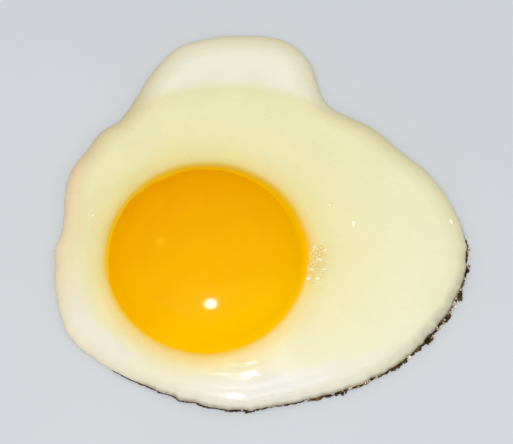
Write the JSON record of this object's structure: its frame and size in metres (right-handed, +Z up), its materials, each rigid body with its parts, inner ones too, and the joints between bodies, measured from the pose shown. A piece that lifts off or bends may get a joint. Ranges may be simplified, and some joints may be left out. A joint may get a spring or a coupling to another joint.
{
  "type": "fried egg",
  "caption": "Fried egg, sunny side up: a round domed yolk held in a broad, softly rimmed spread of cooked white with one thinner lobe. It lies flat on its base.",
  "frame": {"origin": "middle of the bounding box, on the flat underside that rests on a plate or pan", "axes": "+Z up through the yolk's dome, +X along the widest part of the white and towards its long rounded side, +Y towards the thinner lobe"},
  "size_m": [0.0908, 0.0896, 0.0137],
  "materials": {
    "egg_white": "satin",
    "yolk": "gloss"
  },
  "bodies": {
    "root": {"egg_white": "egg_white", "yolk": "yolk"}
  },
  "joints": []
}
